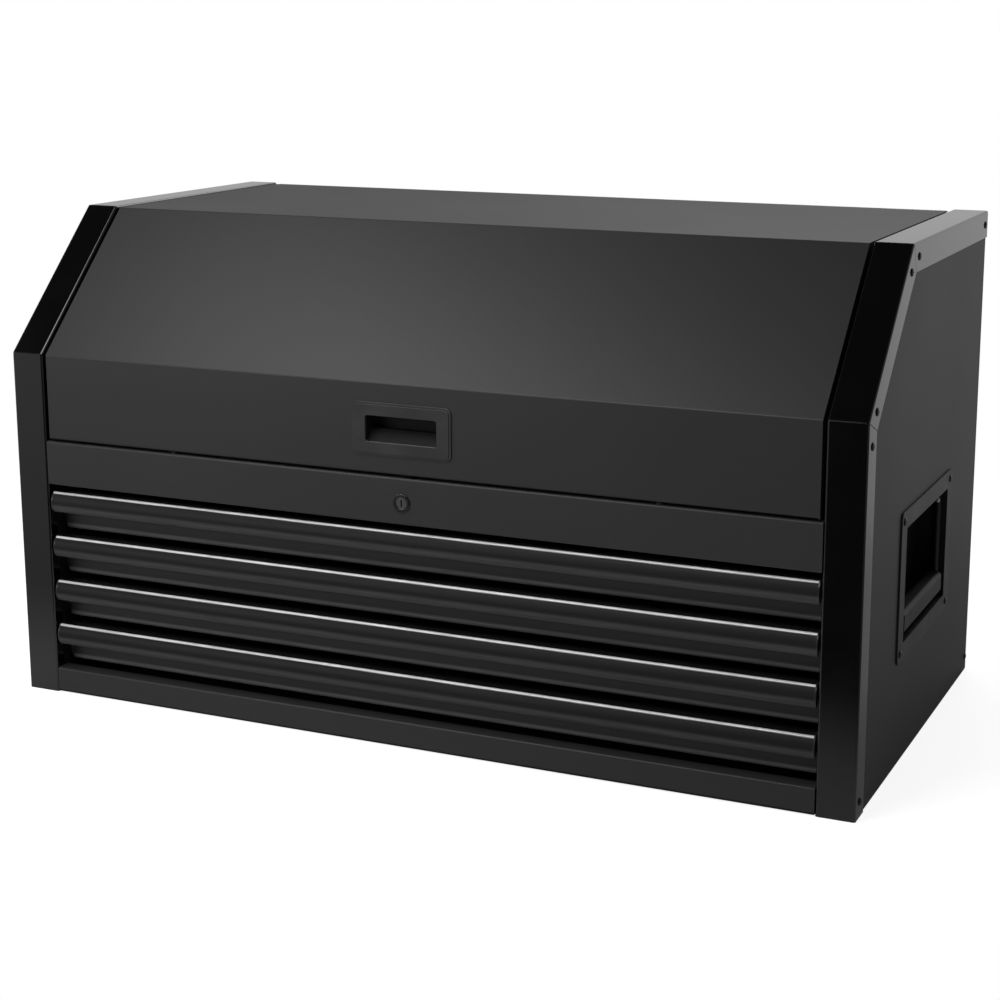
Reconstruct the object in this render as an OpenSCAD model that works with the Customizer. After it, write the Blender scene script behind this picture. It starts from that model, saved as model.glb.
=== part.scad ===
// Machinist tool chest: four full-width drawers on ball-bearing slides under a
// lift-up sloping lid with a recessed pull, carried by two swing-out side grips.
// +X is the user's right, -Y the front, +Z up. The origin is on the floor, under
// the middle of the case. Inside the modules Y is measured back from the front plane.

/* [Case] */
// Overall width over the corner trims
case_w = 1041; // [900:1:1200]
// Depth from the front plane to the back of the hinge knuckles
case_d = 542; // [520:1:640]
// Height of the bottom rail
rail_h = 31; // [25:0.5:45]
// Height of the fixed panel that holds the lock
lock_panel_h = 52.9; // [48:0.1:80]
// Height of the upright front of the lid
lid_front_h = 102.5; // [95:0.5:130]
// How far back the sloping part of the lid runs
slope_run = 162; // [140:1:190]
// How far up the sloping part of the lid runs
slope_rise = 161; // [140:1:190]
// Thickness of the case sheets
wall_t = 1.2; // [0.8:0.1:2]

/* [Corner trims] */
// Width of the trims seen from the front
trim_w = 43; // [40:0.5:60]
// Width of the trim flanges that lie on the sides
flange_w = 32; // [24:0.5:40]
// Thickness of the trim sheet
trim_t = 1.5; // [1.2:0.1:2]
// Depth of the inner return of the trims
return_d = 14; // [8:0.5:18]
// Inside bend radius of folded sheets
bend_r = 1.2; // [0.8:0.1:2]
// Open line where two trims meet
seam = 0.4; // [0.2:0.1:1]
// Head radius of the case screws
screw_r = 4.4; // [3:0.1:5]
// Height of the case screw heads
screw_h = 1.6; // [1:0.1:2]

/* [Drawers] */
// Distance from one drawer to the next
drawer_pitch = 55.3; // [52:0.1:70]
// Open line between two drawer fronts, behind the pulls
front_gap = 8.8; // [6:0.1:10]
// Space between the bottom rail and the lowest drawer front
under_gap = 4; // [3:0.1:10]
// Space between the highest drawer front and the lock panel
over_gap = 13.7; // [10:0.1:18]
// How far the drawer fronts stand back behind the front plane
front_setback = 27; // [24:0.5:32]
// Depth of a drawer tray
tray_d = 470; // [380:1:480]
// Thickness of the tray sheet
tray_t = 1; // [0.8:0.1:1.5]
// How much lower the tray's sides are than its front
tray_drop = 3; // [2:0.5:5]
// Inside radius of the drawer front's rounded foot
foot_r = 4; // [2.5:0.1:6]
// How much wider the drawer front is than the tray, each side
front_lap = 7.4; // [3:0.1:8]

/* [Drawer pulls] */
// Side clearance from a pull to the corner trims
pull_gap = 2.7; // [2:0.1:6]
// Height of the bowed face of the pulls
pull_h = 21.9; // [20:0.1:27]
// How far the face bows forward
pull_bow = 4; // [2:0.1:6]
// How far the pull's face edges stand behind the front plane
pull_setback = 4.2; // [4:0.1:8]
// Wall of the pull extrusion
pull_t = 1.8; // [1.4:0.1:2.4]
// How far the middle of the strip stands above the drawer front's top edge
pull_over = 2.8; // [1.5:0.1:4]
// Depth of the finger channel behind the strip, below its middle
channel_d = 7; // [5:0.1:9]
// Height of the bright strip
strip_h = 2.4; // [1.8:0.1:3]
// Depth of the bright strip
strip_d = 2.8; // [2.6:0.1:4]
// Thickness of the end caps
cap_t = 1.6; // [1.2:0.1:4]

/* [Drawer slides] */
// Space between tray and inner wall that a slide fills
slide_w = 12.7; // [12.5:0.1:14]
// Height of the slides
slide_h = 35; // [33:0.5:40]
// Thickness of the slide members
slide_t = 1.2; // [1:0.1:1.4]
// Ball diameter of the slides
ball_d = 3.2; // [3:0.1:3.6]
// Running clearance between the balls and their races
ball_gap = 0.1; // [0.05:0.01:0.2]
// Length of the slides
slide_l = 458; // [360:1:470]

/* [Lid] */
// Open line between lid and trims
lid_gap = 4.5; // [3:0.1:6]
// How far the lid lies below the trims
lid_sink = 1.5; // [1:0.1:2]
// Open line between lid and lock panel
lid_rest_gap = 2.5; // [1.5:0.1:5]
// Depth of the lid's folded skirt
skirt_d = 18; // [14:0.5:24]
// Radius of the hinge knuckles
knuckle_r = 3.5; // [3.2:0.1:4.5]
// Radius of the hinge pin
pin_r = 1.6; // [1.2:0.1:1.8]
// Running clearance of the hinge pin and other pivots
run_fit = 0.06; // [0.03:0.01:0.1]
// Number of hinge knuckles
knuckles = 23; // [11:2:31]

/* [Lid pull] */
// Width of the pull's plate
lid_pull_w = 122; // [100:1:140]
// Height of the pull's plate
lid_pull_h = 59; // [50:1:70]
// Width of the finger pocket
pocket_w = 88; // [70:1:100]
// Height of the finger pocket
pocket_h = 30; // [24:1:40]
// Depth of the finger pocket
pocket_d = 22; // [16:1:30]
// Wall of the moulded pull
pocket_t = 2; // [1.5:0.1:3]
// How far the finger pocket runs up behind the plate
pocket_up = 7; // [4:0.5:9]
// Centre of the pull above the lid's lower edge
lid_pull_z = 50.5; // [45:0.5:60]

/* [Lid struts] */
// Distance from the hinge to each strut pivot
strut_reach = 220; // [200:1:235]
// Drop of the lid's strut pivot below the hinge
strut_drop = 30; // [28:1:36]
// Angle at the hinge between the two strut pivots
strut_angle = 66; // [62:1:70]
// Largest opening angle of the lid
lid_open = 75; // [60:1:80]
// Radius of the strut tube
tube_r = 9; // [8:0.5:10]
// Radius of the strut rod
rod_r = 4; // [3:0.5:5]

/* [Side handles] */
// Centre of the handle behind the front plane
handle_y = 279; // [240:1:320]
// Drop of the handle's centre below the till
handle_drop = 55.6; // [40:0.1:100]
// Length of the handle plate
handle_w = 244; // [220:1:260]
// Height of the handle plate
handle_h = 171; // [160:1:190]
// Length of the hand recess
recess_w = 199; // [180:1:205]
// Height of the hand recess
recess_h = 130; // [120:1:140]
// Thickness of the handle plate and dish
dish_t = 2; // [1.5:0.1:2.5]
// Height of the grip
grip_h = 25; // [20:0.5:27]
// Thickness of the grip
grip_t = 18; // [14:0.5:20]
// Thickness of the bail rod
bail_d = 8; // [6:0.5:9]
// Length of the bail arms
bail_arm = 98; // [80:1:104]

/* [Lock] */
// Drop of the lock below the top of its panel
lock_drop = 28; // [26:0.5:32]
// Radius of the lock bezel
bezel_r = 10.5; // [9:0.1:13]
// Radius of the turning lock plug
plug_r = 6.5; // [5:0.1:7]
// Length of the lock cam
cam_l = 24; // [23:0.1:25]

/* [Hidden] */
$fn = 48;

// Heights, stacked from the floor up
front_h = drawer_pitch - front_gap;
lock_z = rail_h + under_gap + 4 * drawer_pitch - front_gap + over_gap;
lock_top = lock_z + lock_panel_h;
lid_z = lock_top + lid_rest_gap;
fold_z = lid_z + lid_front_h;
case_h = fold_z + slope_rise;

// Widths, from the middle outwards
half_w = case_w / 2;
side_out = half_w - trim_t;
side_in = side_out - wall_t;
opening_half = half_w - trim_w;
inner_in = opening_half + trim_t;
inner_out = inner_in + wall_t;
lid_half = opening_half - lid_gap;
pull_half = opening_half - pull_gap;
tray_half = inner_in - slide_w;
panel_half = tray_half + front_lap;

// Depths, from the front plane back
leaf_t = wall_t;
back_out = case_d - leaf_t;
back_in = back_out - wall_t;
flange_in = back_in - wall_t;
notch_y = return_d + 2;

// Hinge axis at the top rear edge
hinge_y = case_d - knuckle_r;
hinge_z = case_h - lid_sink - knuckle_r;

// Slope direction and inward normals of the three front faces
slope_l = norm([slope_run, slope_rise]);
slope_dir = [slope_run, slope_rise] / slope_l;
front_in = [1, 0];
slope_in = [slope_dir[1], -slope_dir[0]];
top_in = [0, -1];

// Corner of two faces when both are moved inwards by d
function corner(p, a, b, d) = p + d * (a + b) / (1 + a * b);
// Front fold and top fold of the case outline, moved inwards by d
function fold_at(d) = corner([0, fold_z], front_in, slope_in, d);
function crest_at(d) = corner([slope_run, case_h], slope_in, top_in, d);

// Outline of a folded sheet. path is its face line, the sheet lies on the left of it,
// t thick, and every fold has the inside radius r.
fold_steps = 4;
function unit(v) = v / norm(v);
function left_of(v) = [-v[1], v[0]];
function turn(v, a) = [v[0] * cos(a) - v[1] * sin(a), v[0] * sin(a) + v[1] * cos(a)];
function fold_angle(u, v) = atan2(u[0] * v[1] - u[1] * v[0], u * v);
function fold_arc(p, u, v, near, r) =
    let (a = fold_angle(u, v), side = sign(a), n = left_of(u) * side)
    let (cut = r * tan(abs(a) / 2), centre = p - u * cut + n * r)
    [for (k = [0:fold_steps]) centre - turn(n, a * k / fold_steps) * near];
function sheet_side(path, t, r, shift) =
    [for (i = [0:len(path) - 1])
        let (u = unit(path[max(i, 1)] - path[max(i, 1) - 1]))
        let (v = unit(path[min(i, len(path) - 2) + 1] - path[min(i, len(path) - 2)]))
        let (a = fold_angle(u, v), face_r = a > 0 ? r + t : r)
        let (near = a > 0 ? face_r - shift : face_r + shift)
        each (i == 0 || i == len(path) - 1
            ? [path[i] + left_of(i == 0 ? v : u) * shift]
            : fold_arc(path[i], u, v, near, face_r))];
function reversed(a) = [for (i = [len(a) - 1:-1:0]) a[i]];
function sheet_outline(path, t, r) =
    concat(sheet_side(path, t, r, 0), reversed(sheet_side(path, t, r, t)));
module sheet(path, t = wall_t, r = bend_r) {
    polygon(sheet_outline(path, t, r));
}

// Placing helpers: Y is counted from the front plane in every module
module from_front() {
    translate([0, -case_d / 2, 0]) children();
}
module across(x0, x1) {
    translate([x0, 0, 0]) rotate([90, 0, 90]) linear_extrude(x1 - x0) children();
}
module along(y0, y1) {
    translate([0, y1, 0]) rotate([90, 0, 0]) linear_extrude(y1 - y0) children();
}
module block(x0, x1, y0, y1, z0, z1) {
    translate([x0, y0, z0]) cube([x1 - x0, y1 - y0, z1 - z0]);
}
module rod_x(x0, x1, y, z, r) {
    translate([x0, y, z]) rotate([0, 90, 0]) cylinder(r = r, h = x1 - x0);
}
module rod_y(x, y0, y1, z, r) {
    translate([x, y0, z]) rotate([-90, 0, 0]) cylinder(r = r, h = y1 - y0);
}
module on_side(side) {
    if (side > 0) children();
    else mirror([1, 0, 0]) children();
}
module rounded(w, h, r) {
    square([w - 2 * r, h], center = true);
    square([w, h - 2 * r], center = true);
    for (i = [-1, 1], j = [-1, 1]) translate([i * (w / 2 - r), j * (h / 2 - r)]) circle(r);
}

// Corner trims: one folded channel, run along three edges and mitred at the folds
module trim_channel(run) {
    linear_extrude(run)
        sheet([[opening_half, return_d], [opening_half, 0], [half_w, 0], [half_w, flange_w]], trim_t);
}
module column() {
    past = 60;
    intersection() {
        trim_channel(fold_z + past);
        across(opening_half - 1, half_w + 1)
            polygon([[-5, 0], [past, 0], fold_at(past), fold_at(-5)]);
    }
}
module slope_trim() {
    past = 60;
    shift = slope_dir * seam / slope_dir[1];
    intersection() {
        translate([0, 0, fold_z]) rotate([-atan2(slope_run, slope_rise), 0, 0])
            translate([0, 0, -past]) trim_channel(slope_l + 2 * past);
        across(opening_half - 1, half_w + 1)
            polygon([fold_at(-5) + shift, fold_at(past) + shift, crest_at(past), crest_at(-5)]);
    }
}
module top_trim() {
    past = 60;
    intersection() {
        translate([0, slope_run, case_h]) rotate([-90, 0, 0])
            translate([0, 0, -past]) trim_channel(case_d - slope_run + past);
        across(opening_half - 1, half_w + 1) polygon([crest_at(-5) + [seam, 0],
            crest_at(past) + [seam, 0], [case_d, case_h - past], [case_d, case_h + 5]]);
    }
}
module left_column() {
    color("#0b0b0c") from_front() on_side(-1) column();
}
module right_column() {
    color("#0b0b0c") from_front() on_side(1) column();
}
module left_slope_trim() {
    color("#0b0b0c") from_front() on_side(-1) slope_trim();
}
module right_slope_trim() {
    color("#0b0b0c") from_front() on_side(1) slope_trim();
}
module left_top_trim() {
    color("#0b0b0c") from_front() on_side(-1) top_trim();
}
module right_top_trim() {
    color("#0b0b0c") from_front() on_side(1) top_trim();
}

// Side panels: five-sided sheets with a turned-in rear edge and foot, cut for the handle dish
side_flange = 20;
module side_outline(d, rear, floor_z) {
    polygon([[d, floor_z], fold_at(d), crest_at(d), [rear, case_h - d], [rear, floor_z]]);
}
module side_panel() {
    difference() {
        across(side_in, side_out) side_outline(trim_t + bend_r, back_out, 0);
        translate([side_in - 1, handle_y, handle_z]) rotate([90, 0, 90])
            linear_extrude(wall_t + 2)
                square([recess_w + 2 * dish_t, recess_h + 2 * dish_t], center = true);
    }
    block(side_in - side_flange, side_in, flange_in, back_in, pan_top, case_h - flange_w);
    block(side_in - side_flange, side_in, notch_y, back_in, 0, wall_t);
}
module left_side_panel() {
    color("#3c3c3e") from_front() on_side(-1) side_panel();
}
module right_side_panel() {
    color("#3c3c3e") from_front() on_side(1) side_panel();
}

// Inner walls carry the slides and close the till's sides
pan_top = 2 * wall_t;
module inner_wall() {
    across(inner_in, inner_out) side_outline(trim_t + bend_r + 0.1, flange_in, pan_top);
}
module left_inner_wall() {
    color("#303032") from_front() on_side(-1) inner_wall();
}
module right_inner_wall() {
    color("#303032") from_front() on_side(1) inner_wall();
}

// Back panel, its top edge folded forward under the hinge
back_top = hinge_z - knuckle_r - 0.5;
back_fold = 12;
module back_panel() {
    color("#303032") from_front() {
        block(-side_in, side_in, back_in, back_out, pan_top, case_h - return_d - seam);
        across(-opening_half + seam, opening_half - seam)
            sheet([[back_out, pan_top], [back_out, back_top], [back_out - back_fold, back_top]]);
    }
}

// Bottom pan, notched round the columns, with its rear edge turned up
module bottom_pan() {
    color("#303032") from_front() {
        block(-opening_half + seam, opening_half - seam, wall_t / 2, notch_y, wall_t, pan_top);
        block(-side_in, side_in, notch_y, back_in, wall_t, pan_top);
    }
}

// Floor of the till above the drawers, resting on the lock panel's lower flange
till_z = lock_z + wall_t;
till_top = till_z + wall_t;
module till_floor() {
    color("#303032") from_front() {
        block(-opening_half + seam, opening_half - seam, wall_t + bend_r, notch_y, till_z, till_top);
        block(-inner_in, inner_in, notch_y, flange_in, till_z, till_top);
    }
}

// Bottom rail and lock panel: folded channels between the columns
rail_d = 20;
module front_channel(z0, z1) {
    across(-opening_half + seam, opening_half - seam)
        sheet([[rail_d, z1], [0, z1], [0, z0], [rail_d, z0]], wall_t);
}
module bottom_rail() {
    color("#3a3a3c") from_front() front_channel(pan_top, rail_h);
}
slot_gap = 2;
module lock_panel() {
    color("#3a3a3c") from_front() difference() {
        front_channel(lock_z, lock_top);
        rod_y(0, -1, wall_t + 1, lock_mid, barrel_r + 0.1);
        block(strike_x - slot_gap, strike_x + strike_t + slot_gap, wall_t + bend_r + 0.4, rail_d + 1,
            lock_top - 2 * wall_t, lock_top + 1);
    }
}

// Lock: fixed barrel and bezel, and a plug whose cam swings into the lid's strike
lock_mid = lock_top - lock_drop;
bezel_h = 1.5;
barrel_r = plug_r + 1.5;
barrel_l = 18;
cam_t = 2.5;
cam_w = 7;
hub_r = plug_r - 1;
cam_rest = -50;
cam_y = barrel_l + 0.5;
module lock_barrel() {
    color("silver") from_front() difference() {
        union() {
            rod_y(0, 0, barrel_l, lock_mid, barrel_r);
            rod_y(0, -bezel_h, 0, lock_mid, bezel_r);
        }
        rod_y(0, -bezel_h - 1, barrel_l + 1, lock_mid, plug_r + run_fit);
    }
}
module lock_plug() {
    color("gainsboro") from_front() {
        difference() {
            rod_y(0, -bezel_h / 2, barrel_l + 0.2, lock_mid, plug_r);
            block(-0.8, 0.8, -2, 8, lock_mid - 4, lock_mid + 4);
        }
        translate([0, 0, lock_mid]) rotate([0, cam_rest, 0]) {
            block(-cam_w / 2, cam_w / 2, cam_y, cam_y + cam_t, 0, cam_l);
            rod_y(0, barrel_l - 1, cam_y + cam_t + 1, 0, hub_r);
        }
    }
}

// Ball-bearing slides: cabinet member, carrier with its ball cages, and drawer runner.
// Each is a channel lying in the next, with the balls between their flanges.
function front_z(n) = rail_h + under_gap + (4 - n) * drawer_pitch;
function slide_z(n) = front_z(n) + front_h / 2;
slide_y = front_setback + 4;
slide_end = slide_y + slide_l;
member_r = 0.6;
carrier_out = opening_half - 0.7;
carrier_half = slide_h / 2 - slide_t - ball_d - 2 * ball_gap;
runner_half = carrier_half - slide_t - ball_d - 2 * ball_gap;
runner_out = carrier_out - slide_t - 1;
cage_l = 96;
cage_balls = 4;
module channel_out(x, depth, half) {
    sheet([[x - depth, -half], [x, -half], [x, half], [x - depth, half]], slide_t, member_r);
}
module cabinet_member(n) {
    translate([0, 0, slide_z(n)]) along(slide_y, slide_end)
        channel_out(inner_in, slide_w - 2, slide_h / 2);
}
module cabinet_slides() {
    color("#a9abad") from_front() for (n = [1:4], side = [-1, 1]) on_side(side) cabinet_member(n);
}
module ball_cage(x, y, z) {
    row_x = x - ball_d / 2 - 0.4;
    for (i = [0:cage_balls - 1])
        translate([row_x, y + (i + 0.5) * cage_l / cage_balls, z]) sphere(ball_d / 2);
    block(row_x - 0.4, row_x + 0.4, y, y + cage_l, z - 1.1, z + 1.1);
}
module carrier(n) {
    outer_z = carrier_half + ball_gap + ball_d / 2;
    inner_z = runner_half + ball_gap + ball_d / 2;
    translate([0, 0, slide_z(n)]) {
        along(slide_y + 2, slide_end - 4)
            channel_out(carrier_out, carrier_out - tray_half - 3, carrier_half);
        for (k = [-1, 1]) {
            ball_cage(carrier_out - 2, slide_end - cage_l - 30, k * outer_z);
            ball_cage(runner_out - 1.4, slide_y + 30, k * inner_z);
        }
    }
}
module carriers(n) {
    color("#b4b6b8") from_front() for (side = [-1, 1]) on_side(side) carrier(n);
}
module runner(n) {
    translate([0, 0, slide_z(n)]) along(slide_y, slide_end - 2) sheet([[runner_out, runner_half],
        [tray_half, runner_half], [tray_half, -runner_half], [runner_out, -runner_half]],
        slide_t, member_r);
}
module runners(n) {
    color("#bcbec0") from_front() for (side = [-1, 1]) on_side(side) runner(n);
}

// Drawer tray: front with a hem and a rounded foot, floor, sides and back in one folded sheet
hem_d = 8;
foot_d = 12;
tray_back = front_setback + tray_d;
module tray(n) {
    low = front_z(n);
    high = low + front_h;
    middle = low + front_h / 2;
    color("#37373a") from_front() {
        across(-panel_half, panel_half) {
            sheet([[front_setback + hem_d, high], [front_setback, high], [front_setback, middle]], tray_t);
            sheet([[front_setback, middle], [front_setback, low], [front_setback + foot_d, low]],
                tray_t, foot_r);
        }
        across(-tray_half, tray_half) sheet([[front_setback + foot_d, low], [tray_back, low],
            [tray_back, high - tray_drop]], tray_t, bend_r);
        for (side = [-1, 1]) on_side(side) block(tray_half - tray_t, tray_half,
            front_setback + tray_t, tray_back, low + 3 * tray_t, high - tray_drop);
        for (side = [-1, 1]) on_side(side) block(tray_half - tray_t, tray_half,
            front_setback + foot_d, tray_back - 3 * tray_t, low, low + 3 * tray_t);
    }
}

// Drawer pull: one extrusion with a bowed face, a lip that holds the strip, a finger
// channel behind it, and a flange that hooks over the drawer front. Heights are counted
// from the middle of the strip.
bow_r = (pow(pull_h / 2, 2) + pow(pull_bow, 2)) / (2 * pull_bow);
bow_half = asin(pull_h / 2 / bow_r);
bow_y = pull_setback - pull_bow + bow_r;
bow_z = -strip_h / 2 - pull_h / 2;
bow_in = bow_r - pull_t;
bow_steps = 10;
lip_t = 1.2;
pull_flange = 12;
hook_l = 6;
hook_t = 1;
function bow(r, from, to) = [for (k = [0:bow_steps])
    let (a = from + (to - from) * k / bow_steps) [bow_y + r * cos(a), bow_z + r * sin(a)]];
function bow_angle(z) = 180 - asin((z - bow_z) / bow_in);
function curl(out) = let (a0 = 180 + bow_half, r = bow_r - pull_t / 2)
    [for (a = [a0 + 30:30:a0 + 150]) [bow_y + r * cos(a0) + (pull_t / 2 + out) * cos(a),
        bow_z + r * sin(a0) + (pull_t / 2 + out) * sin(a)]];
module pull_profile() {
    seat_y = pull_setback + strip_d;
    lip_z = strip_h / 2 - 0.3;
    web_z = -channel_d - pull_t;
    flange_y = front_setback - pull_t;
    polygon(concat(
        [[seat_y, lip_z], [seat_y, -strip_h / 2]],
        bow(bow_r, 180 - bow_half, 180 + bow_half), curl(0),
        bow(bow_in, 180 + bow_half, bow_angle(web_z)),
        [[flange_y, web_z], [flange_y, -pull_over - pull_flange],
            [front_setback, -pull_over - pull_flange], [front_setback, -pull_over],
            [front_setback + hook_l, -pull_over], [front_setback + hook_l, hook_t - pull_over],
            [flange_y, hook_t - pull_over], [flange_y, -channel_d]],
        bow(bow_in, bow_angle(-channel_d), 180 - bow_half),
        [[seat_y + lip_t, -strip_h / 2 - lip_t], [seat_y + lip_t, lip_z]]));
}
module on_front(n) {
    from_front() translate([0, 0, front_z(n) + front_h + pull_over]) children();
}
module pull(n) {
    color("#4a4a4d") on_front(n) across(-pull_half + cap_t, pull_half - cap_t) pull_profile();
}
// Bright strip let into the front edge of the pull
module strip(n) {
    round_y = pull_setback + strip_h - 0.4;
    color("white") on_front(n) across(-pull_half + cap_t, pull_half - cap_t) {
        intersection() {
            translate([round_y, -strip_h / 2]) circle(strip_h);
            translate([pull_setback - 1, -strip_h / 2]) square([strip_h + 0.6, strip_h]);
        }
        translate([round_y, -strip_h / 2]) square([pull_setback + strip_d - round_y, strip_h]);
    }
}
// End caps that close the pull's profile
module cap_profile() {
    foot = bow(bow_r, 180 + bow_half, 180 + bow_half)[0];
    web = [foot + [4, 1], foot + [8, 12], [front_setback, -pull_over - pull_flange]];
    ear_z = strip_h / 2 + 0.9;
    polygon(concat(
        [[front_setback, hook_t - pull_over], [pull_setback + 9, ear_z], [pull_setback + 3, ear_z],
            [pull_setback + 1, strip_h / 2 + 0.4]],
        bow(bow_r + 0.3, 180 - bow_half, 180 + bow_half), curl(0.3),
        [for (k = [0:6]) let (t = k / 6)
            web[0] * (1 - t) * (1 - t) + web[1] * 2 * t * (1 - t) + web[2] * t * t]));
}
module caps(n) {
    color("#5a5a5d") on_front(n)
        for (side = [-1, 1]) on_side(side) across(pull_half - cap_t, pull_half) cap_profile();
}

// Lid: one sheet folded over front, slope and top, with a hem below and skirts at the sides
lid_rear = hinge_y - knuckle_r - 0.5;
lid_hem = 12.5;
lid_pull_mid = lid_z + lid_pull_z;
skirt_rear = back_out - back_fold - 2.8;
module skirt() {
    near = lid_sink + wall_t / 2;
    far = lid_sink + skirt_d;
    across(lid_half - wall_t, lid_half) polygon([[near, lid_z], fold_at(near), crest_at(near),
        [skirt_rear, case_h - near], [skirt_rear, case_h - far], crest_at(far), fold_at(far),
        [far, lid_z]]);
}
module lid_panel() {
    color("#474749") from_front() difference() {
        union() {
            across(-lid_half, lid_half) sheet([[lid_rear, case_h - lid_sink], crest_at(lid_sink),
                fold_at(lid_sink), [lid_sink, lid_z], [lid_sink + lid_hem, lid_z]], wall_t, 2);
            for (side = [-1, 1]) on_side(side) skirt();
        }
        pocket_block(pocket_t + 0.5, -1, 2 * lid_sink + wall_t);
    }
}

// Stiffening channels under the lid and the strike for the lock cam
rib_w = 40;
rib_d = 12;
rib_half = lid_half - 36;
strike_x = 12;
strike_t = 2;
strike_y = cam_y - 2.4;
strike_depth = cam_t + 5.4;
strike_low = lock_mid + 6;
module rib_profile() {
    sheet([[-rib_w / 2, 0], [-rib_w / 2, -rib_d], [rib_w / 2, -rib_d], [rib_w / 2, 0]], wall_t, 2);
}
module lid_stiffeners() {
    rib_y = (slope_run + lid_rear) / 2;
    inset = lid_sink + wall_t;
    color("#303032") from_front() {
        across(-rib_half, rib_half) translate([rib_y, case_h - inset]) rib_profile();
        across(-rib_half, rib_half) translate((fold_at(inset) + crest_at(inset)) / 2)
            rotate(atan2(slope_rise, slope_run)) rib_profile();
        block(strike_x, strike_x + 28, lid_sink + wall_t + 2, strike_y + strike_depth,
            lid_z + wall_t, lid_z + wall_t + strike_t);
        difference() {
            block(strike_x, strike_x + strike_t, strike_y, strike_y + strike_depth,
                strike_low, lid_z + wall_t + strike_t);
            block(strike_x - 1, strike_x + strike_t + 1, cam_y - 1.2, cam_y + cam_t + 1.2,
                strike_low + 2, lock_top - 5);
        }
    }
}

// Flush lid pull: bevelled plate round a deep finger pocket with a steep ramp at its foot
plate_h = 2.2;
ramp_y = 15;
ramp_z = 12.5;
module pocket_block(more, y0, y1) {
    block(-pocket_w / 2 - more, pocket_w / 2 + more, y0, y1, lid_pull_mid - pocket_h / 2 - more,
        lid_pull_mid + pocket_h / 2 + pocket_up + more);
}
module lid_pull() {
    color("#3e3e40") from_front() {
        difference() {
            union() {
                translate([0, lid_sink, lid_pull_mid]) rotate([90, 0, 0]) {
                    linear_extrude(plate_h - 0.8) rounded(lid_pull_w, lid_pull_h, 7);
                    linear_extrude(plate_h) rounded(lid_pull_w - 5, lid_pull_h - 5, 5);
                }
                pocket_block(pocket_t, lid_sink, lid_sink + pocket_d + pocket_t);
            }
            translate([0, lid_sink + 5, lid_pull_mid]) rotate([90, 0, 0])
                linear_extrude(pocket_d) rounded(pocket_w, pocket_h, 3);
            pocket_block(0, lid_sink + 2, lid_sink + pocket_d);
        }
        across(-pocket_w / 2, pocket_w / 2) translate([lid_sink, lid_pull_mid - pocket_h / 2])
            polygon([[3, 0], [ramp_y, ramp_z], [pocket_d, ramp_z], [pocket_d, 0]]);
    }
}

// Piano hinge: alternate knuckles on the two leaves, turning on one long pin
leaf_w = 26;
hinge_half = lid_half - 3;
knuckle_l = 2 * hinge_half / knuckles;
knuckle_gap = 0.4;
module knuckle_row(first) {
    for (i = [first:2:knuckles - 1]) let (x = -hinge_half + i * knuckle_l)
        translate([x + knuckle_gap / 2, 0, 0]) children();
}
module hinge_leaf(first) {
    difference() {
        union() {
            children();
            knuckle_row(first) rod_x(0, knuckle_l - knuckle_gap, hinge_y, hinge_z, knuckle_r);
        }
        rod_x(-hinge_half - 1, hinge_half + 1, hinge_y, hinge_z, pin_r + run_fit);
    }
}
module hinge_case_leaf() {
    color("#8f9194") from_front() hinge_leaf(0) {
        block(-hinge_half, hinge_half, back_out, case_d, back_top - leaf_w, back_top);
        knuckle_row(0) block(0, knuckle_l - knuckle_gap, back_out, case_d, back_top - 1, hinge_z);
    }
}
module hinge_lid_leaf() {
    top = case_h - lid_sink - wall_t;
    color("#8f9194") from_front() hinge_leaf(1) {
        block(-hinge_half, hinge_half, lid_rear - leaf_w, lid_rear, top - leaf_t, top);
        knuckle_row(1) block(0, knuckle_l - knuckle_gap, lid_rear - 1, lid_rear + 2, top - leaf_t, top);
    }
}
module hinge_pin() {
    color("silver") from_front() rod_x(-hinge_half, hinge_half, hinge_y, hinge_z, pin_r);
}

// Gas struts. Both pivots lie on one circle about the hinge, so tube and rod each
// turn at half the lid's rate and stay in line at every opening.
strut_x = lid_half - wall_t - 12;
strut_dip = asin(strut_drop / strut_reach);
lid_pivot = [hinge_y - strut_reach * cos(strut_dip), hinge_z - strut_drop];
case_pivot = [hinge_y - strut_reach * cos(strut_dip + strut_angle),
    hinge_z - strut_reach * sin(strut_dip + strut_angle)];
strut_l = 2 * strut_reach * sin(strut_angle / 2);
strut_open = 2 * strut_reach * sin((strut_angle + lid_open) / 2);
strut_lean = atan2(case_pivot[0] - lid_pivot[0], lid_pivot[1] - case_pivot[1]);
eye_r = 7;
eye_w = 9;
stud_r = 4;
neck_r = 4.5;
neck_in = 5;
tube_start = 14;
gland = 6;
piston = 8;
rod_l = strut_l - 21;
tube_end = strut_open - rod_l + piston + gland + 1.5;
module on_strut(side, pivot) {
    from_front() translate([side * strut_x, pivot[0], pivot[1]])
        rotate([strut_lean, 0, 0]) children();
}
module strut_end() {
    difference() {
        rod_x(-eye_w / 2, eye_w / 2, 0, 0, eye_r);
        rod_x(-eye_w, eye_w, 0, 0, stud_r + run_fit);
    }
}
module strut_tube(side) {
    floor_z = tube_start + 4;
    bore_r = tube_r - 1;
    mouth_r = rod_r + 0.1;
    color("#151517") on_strut(side, case_pivot) {
        strut_end();
        rotate_extrude() polygon([[0, neck_in], [neck_r, neck_in], [neck_r, tube_start],
            [tube_r, tube_start], [tube_r, tube_end], [mouth_r, tube_end],
            [mouth_r, tube_end - gland], [bore_r, tube_end - gland], [bore_r, floor_z], [0, floor_z]]);
    }
}
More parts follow.
